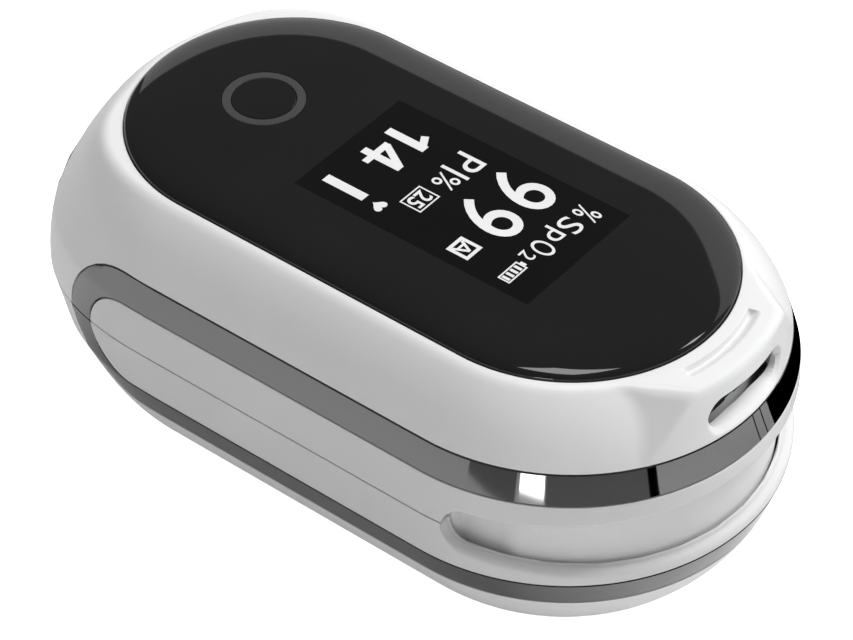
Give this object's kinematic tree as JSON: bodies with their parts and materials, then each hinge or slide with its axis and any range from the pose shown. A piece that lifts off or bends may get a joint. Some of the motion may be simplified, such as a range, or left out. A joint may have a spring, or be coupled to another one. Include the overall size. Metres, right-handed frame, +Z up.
{
  "type": "fingertip pulse oximeter",
  "caption": "Fingertip pulse oximeter: white clamshell with black display panel, power key, chrome trim, silicone finger pads and a sprung cross hinge.",
  "frame": {"origin": "centre of the bounding box, on the surface that the flat base stands on", "axes": "+Y towards the squeezed end, away from the finger opening; +Z up through the display; +X to the right when facing along +Y"},
  "size_m": [0.036, 0.0638, 0.03],
  "materials": {
    "white_shell": "satin white moulded ABS",
    "grey_shell": "satin light grey moulded ABS",
    "chrome": "bright plated trim",
    "black_gloss": "high gloss black acrylic",
    "screen": "dark display window with lit symbols",
    "ring_print": "dark grey ring",
    "silicone": "matt grey silicone",
    "circuit_board": "green solder mask",
    "chip": "black moulded package",
    "steel": "plated steel",
    "red_window": "clear red sensor window",
    "cell_sleeve": "printed cell sleeve",
    "flex": "polyimide ribbon"
  },
  "bodies": {
    "lower_half": {"bottom_cover": "white_shell", "lower_band": "chrome", "lower_frame": "grey_shell", "lower_pad": "silicone", "detector_board": "circuit_board", "photodiode": "chip", "detector_window": "red_window", "dry_cell": "cell_sleeve", "positive_contact": "steel", "negative_contact": "steel", "negative_spring": "steel", "hinge_shaft": "steel", "torsion_spring_left": "steel", "torsion_spring_right": "steel", "flex_cable": "flex", "lower_screw_1": "steel", "lower_screw_2": "steel", "lower_screw_3": "steel", "lower_screw_4": "steel"},
    "upper_half": {"top_cover": "white_shell", "front_panel": "black_gloss", "display_window": "screen", "display_module": "chip", "main_board": "circuit_board", "processor_chip": "chip", "tact_switch": "chip", "upper_band": "chrome", "upper_frame": "grey_shell", "upper_pad": "silicone", "emitter_board": "circuit_board", "emitter_leds": "chip", "emitter_window": "red_window", "upper_screw_1": "steel", "upper_screw_2": "steel", "upper_screw_3": "steel", "upper_screw_4": "steel"},
    "power_key": {"power_button": "black_gloss", "button_ring": "ring_print"},
    "door": {"battery_door": "white_shell"}
  },
  "joints": [
    {"name": "clamp_hinge", "type": "hinge", "parent": "lower_half", "child": "upper_half", "pos_m": [0, 0.0158, 0.0172], "axis": [-1, 0, 0], "range_deg": [0, 16], "stiffness_Nm_per_rad": 0.12, "springref_deg": -22.92, "deforming": ["torsion_spring_left", "torsion_spring_right", "flex_cable"]},
    {"name": "power_press", "type": "slide", "parent": "upper_half", "child": "power_key", "axis": [0, 0, -1], "range_m": [0, 0.0003], "stiffness_N_per_m": 600, "springref_m": -0.0005},
    {"name": "door_slide", "type": "slide", "parent": "lower_half", "child": "door", "axis": [0, -1, 0], "range_m": [0, 0.02]}
  ]
}
